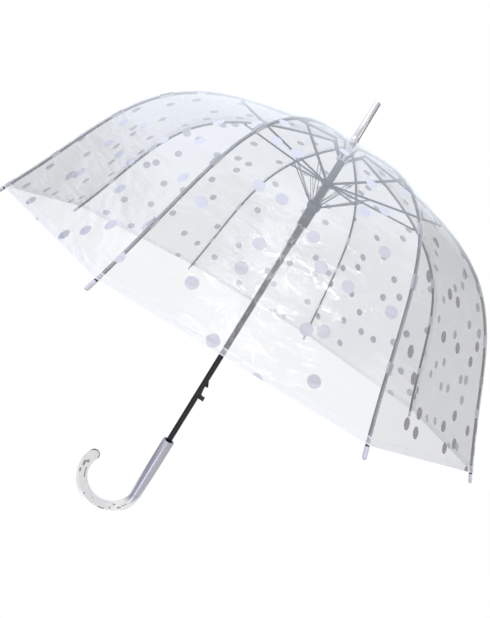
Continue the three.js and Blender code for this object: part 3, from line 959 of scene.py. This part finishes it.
CROOK_RADIUS = 0.010
CROOK_BEND = 0.052
CROOK_TOP = HEM - 0.3663
CROOK_TURN = math.radians(205)
CROOK_STEPS = 72
CROOK_PIVOT = (-CROOK_BEND, 0, CROOK_TOP)
TIP_ROUNDS = 7
SILVER_FADE = 0.026
SILVER_REACH = 0.040


def round_tip(radius):
    """Rounds off the bar's open end by shrinking extrusions along its line, and fills it."""
    middle = Vector((
        CROOK_BEND * (math.cos(CROOK_TURN) - 1), 0, CROOK_TOP - CROOK_BEND * math.sin(CROOK_TURN)
    ))
    along = Vector((-math.sin(CROOK_TURN), 0, -math.cos(CROOK_TURN)))
    passed, width = 0.0, radius
    for step in range(1, TIP_ROUNDS + 1):
        lean = step * math.pi / 2 / (TIP_ROUNDS + 0.4)
        move = radius * math.sin(lean) - passed
        passed += move
        middle = middle + along * move
        bpy.ops.mesh.extrude_region_move(TRANSFORM_OT_translate={"value": along * move})
        grow = radius * math.cos(lean) / width
        bpy.ops.transform.resize(value=(grow, grow, grow), center_override=middle)
        width *= grow
    bpy.ops.mesh.edge_face_add()


def add_spigot():
    """Draws the bar's other end, the only open rim left, out into the thinner spigot in the grip."""
    bpy.ops.mesh.select_all(action="DESELECT")
    bpy.ops.mesh.select_non_manifold()
    bpy.ops.mesh.extrude_region_move(TRANSFORM_OT_translate={"value": (0, 0, 0)})
    bpy.ops.transform.resize(value=(0.6, 0.6, 1), center_override=(0, 0, CROOK_TOP))
    bpy.ops.mesh.extrude_region_move(TRANSFORM_OT_translate={"value": (0, 0, 0.012)})
    bpy.ops.mesh.edge_face_add()


def bent_bar(name, radius, segments):
    """A round bar spun along the crook's bend, with a rounded tip and a spigot."""
    deselect()
    bpy.ops.mesh.primitive_circle_add(vertices=segments, radius=radius, location=(0, 0, CROOK_TOP))
    piece = bpy.context.object
    piece.name = name
    bpy.ops.object.transform_apply(location=True)
    bpy.ops.object.mode_set(mode="EDIT")
    bpy.ops.mesh.spin(steps=CROOK_STEPS, angle=CROOK_TURN, center=CROOK_PIVOT, axis=(0, -1, 0))
    round_tip(radius)
    add_spigot()
    bpy.ops.mesh.select_all(action="SELECT")
    bpy.ops.mesh.normals_make_consistent(inside=False)
    bpy.ops.object.mode_set(mode="OBJECT")
    settle(piece, 50)
    return piece


crook = bent_bar("crook_bar", CROOK_RADIUS, 40)
acrylic = clear_acrylic(CROOK_TOP, SILVER_FADE, SILVER_REACH)
finish(crook, acrylic, "acrylic", "shaft_and_handle", "crook")

# Drawn-out air bubbles in the resin: the degrees along the bend at which each starts and ends, then
# its distance from the bar's middle line and its radius in millimetres.
BUBBLES = (
    (152, 176, -3.2, 0.75), (176, 188, 1.5, 1.3), (186, 192, -1.0, 1.5), (118, 121, 2.4, 0.9),
    (102, 104, -1.6, 0.6), (72, 84, 3.6, 0.8), (60, 63, 1.5, 1.1), (50, 55, -2.6, 0.9),
    (40, 47, 2.2, 0.9), (26, 38, 1.2, 0.55), (163, 170, 3.0, 1.0),
)


def bubble(number, start, end, side, radius):
    """A thin round-ended hollow that follows the crook's bend."""
    deselect()
    steps = max(3, (end - start) // 2)
    place = (side / 1000, 0, CROOK_TOP)
    bpy.ops.mesh.primitive_circle_add(vertices=12, radius=radius / 1000, location=place)
    piece = bpy.context.object
    piece.name = f"crook_bubble_{number}"
    bpy.ops.object.transform_apply(location=True)
    bpy.ops.object.mode_set(mode="EDIT")
    sweep = math.radians(end - start)
    bpy.ops.mesh.spin(steps=steps, angle=sweep, center=CROOK_PIVOT, axis=(0, -1, 0))
    bpy.ops.mesh.select_all(action="SELECT")
    bpy.ops.mesh.fill_holes(sides=0)
    bpy.ops.mesh.select_all(action="SELECT")
    bpy.ops.mesh.normals_make_consistent(inside=False)
    bpy.ops.object.mode_set(mode="OBJECT")
    pivot = Vector(CROOK_PIVOT)
    leaned = Matrix.Rotation(math.radians(start), 4, "Y")
    piece.data.transform(Matrix.Translation(pivot) @ leaned @ Matrix.Translation(-pivot))
    bevel(piece, 0.6 * radius / 1000, 3)
    settle(piece, 60)
    return piece


for number, shape in enumerate(BUBBLES, 1):
    finish(bubble(number, *shape), bubble_skin, "acrylic", "shaft_and_handle")

# ---------------------------------------------------------------- floor and light
# The studio's light and the floor's glow: each row is a direction, between which leans towards it
# the tone changes, and the tone that is reached. A lean is the cosine of the angle to the direction.
ROOM_TONES = (
    (rolled_up, 0.66, 0.72, (1.30, 1.38, 1.52)),
    ((0, 1, 0.1), 0.55, 0.9, (1.25, 1.32, 1.42)),
    ((0.83, 0.5, 0.26), 0.70, 0.92, (0.27, 0.265, 0.25)),
    ((-0.87, 0.49, -0.02), 0.88, 0.98, (0.34, 0.345, 0.36)),
)
FLOOR_TONES = (
    ((-1, 0, 0), 0.1, 0.9, (0.36, 0.36, 0.38)),
    ((-0.25, -0.968, 0), 0.985, 0.998, (1.7, 1.75, 2.1)),
)
SEEN_THROUGH = 0.55


def mixed(nodes, links, factor, first, second):
    """Two colours mixed. Each is a colour or a socket."""
    mix = nodes.new("ShaderNodeMix")
    mix.data_type = "RGBA"
    for slot, value in ((0, factor), (6, first), (7, second)):
        if isinstance(value, tuple):
            mix.inputs[slot].default_value = (*value, 1)
        else:
            links.new(value, mix.inputs[slot])
    return mix.outputs[2]


def band(nodes, links, direction, axis, low, high):
    """How far a direction leans towards an axis, from 0 at low to 1 at high."""
    dot = nodes.new("ShaderNodeVectorMath")
    dot.operation = "DOT_PRODUCT"
    dot.inputs[1].default_value = axis
    links.new(direction, dot.inputs[0])
    spread = nodes.new("ShaderNodeMapRange")
    spread.interpolation_type = "SMOOTHSTEP"
    spread.inputs["From Min"].default_value = low
    spread.inputs["From Max"].default_value = high
    links.new(dot.outputs["Value"], spread.inputs["Value"])
    return spread.outputs["Result"]


def seen_share(nodes, links):
    """1 where the backdrop is seen straight, and part of that through clear resin."""
    ray = nodes.new("ShaderNodeLightPath")
    share = nodes.new("ShaderNodeMath")
    share.operation = "MULTIPLY_ADD"
    share.use_clamp = True
    share.inputs[1].default_value = SEEN_THROUGH
    links.new(ray.outputs["Is Transmission Ray"], share.inputs[0])
    links.new(ray.outputs["Is Camera Ray"], share.inputs[2])
    return share.outputs["Value"]


def chosen(nodes, links, hidden, seen):
    """Shows one shader where the backdrop is seen and the other where it only lights or mirrors."""
    choose = nodes.new("ShaderNodeMixShader")
    links.new(seen_share(nodes, links), choose.inputs["Fac"])
    links.new(hidden, choose.inputs[1])
    links.new(seen, choose.inputs[2])
    return choose.outputs["Shader"]


def floor_material():
    """White where it is seen. It lights and mirrors as a grey floor with a bright line to the front."""
    recipe = Recipe("pale_floor")
    nodes, links = recipe.nodes, recipe.links
    lit = nodes.new("ShaderNodeEmission")
    seen = nodes.new("ShaderNodeEmission")
    flat = recipe.place((1, 1, 0))
    compass = nodes.new("ShaderNodeVectorMath")
    compass.operation = "NORMALIZE"
    links.new(flat, compass.inputs[0])
    glow = (0.64, 0.63, 0.60)
    for axis, low, high, tone in FLOOR_TONES:
        lean = band(nodes, links, compass.outputs["Vector"], axis, low, high)
        glow = mixed(nodes, links, lean, glow, tone)
    reach = nodes.new("ShaderNodeVectorMath")
    reach.operation = "DISTANCE"
    reach.inputs[1].default_value = (0, 0.15, 0)
    links.new(flat, reach.inputs[0])
    mirrored = nodes.new("ShaderNodeLightPath").outputs["Is Reflection Ray"]
    near = recipe.spread(reach.outputs["Value"], 0.16, 0.24, 1, 0, True)
    glow = mixed(nodes, links, recipe.math("MULTIPLY", near, mirrored), glow, (1.30, 1.32, 1.36))
    links.new(glow, lit.inputs["Color"])
    seen.inputs["Color"].default_value = (1, 1, 1, 1)
    shown = chosen(nodes, links, lit.outputs["Emission"], seen.outputs["Emission"])
    links.new(shown, recipe.output.inputs["Surface"])
    return recipe.material


deselect()
bpy.ops.mesh.primitive_plane_add(size=60, location=(0, 0, cad_box[0][2] - 0.002))
floor = bpy.context.object
floor.name = "floor"
floor.data.materials.append(floor_material())


def soft_light(name, place, target, size, power, colour):
    """A flat lamp that faces its target and isn't seen itself."""
    bpy.ops.object.light_add(type="AREA", location=place)
    light = bpy.context.object
    light.name = name
    light.data.shape = "RECTANGLE"
    light.data.size, light.data.size_y = size
    light.data.energy = power
    light.data.color = colour
    light.rotation_euler = (Vector(target) - Vector(place)).to_track_quat("-Z", "Y").to_euler()
    light.visible_camera = False


DOME_MIDDLE = (0, 0, 0.35)
soft_light("key_light", (-1.6, -1.4, 2.4), DOME_MIDDLE, (1.5, 1.2), 9, (0.93, 0.96, 1.0))
soft_light("fill_light", (1.9, -0.9, 1.2), DOME_MIDDLE, (1.0, 1.0), 4, (1.0, 0.95, 0.88))
soft_light("strip_light", (0.12, -1.75, HEM + 1.52), (0, -0.35, HEM), (0.50, 0.05), 0.8, (1, 1, 1))


def studio_world():
    """White where it is seen, and a soft studio with dark ends for the gloss."""
    world = bpy.data.worlds.new("studio")
    world.use_nodes = True
    nodes, links = world.node_tree.nodes, world.node_tree.links
    direction = nodes.new("ShaderNodeTexCoord").outputs["Generated"]
    height = band(nodes, links, direction, rolled_up, -0.6, 0.5)
    room = mixed(nodes, links, height, (0.52, 0.51, 0.48), (0.90, 0.91, 0.93))
    for axis, low, high, tone in ROOM_TONES:
        room = mixed(nodes, links, band(nodes, links, direction, axis, low, high), room, tone)
    white = nodes["Background"]
    white.inputs["Color"].default_value = (1, 1, 1, 1)
    studio = nodes.new("ShaderNodeBackground")
    links.new(room, studio.inputs["Color"])
    shown = chosen(nodes, links, studio.outputs["Background"], white.outputs["Background"])
    links.new(shown, nodes["World Output"].inputs["Surface"])
    return world


scene.world = studio_world()
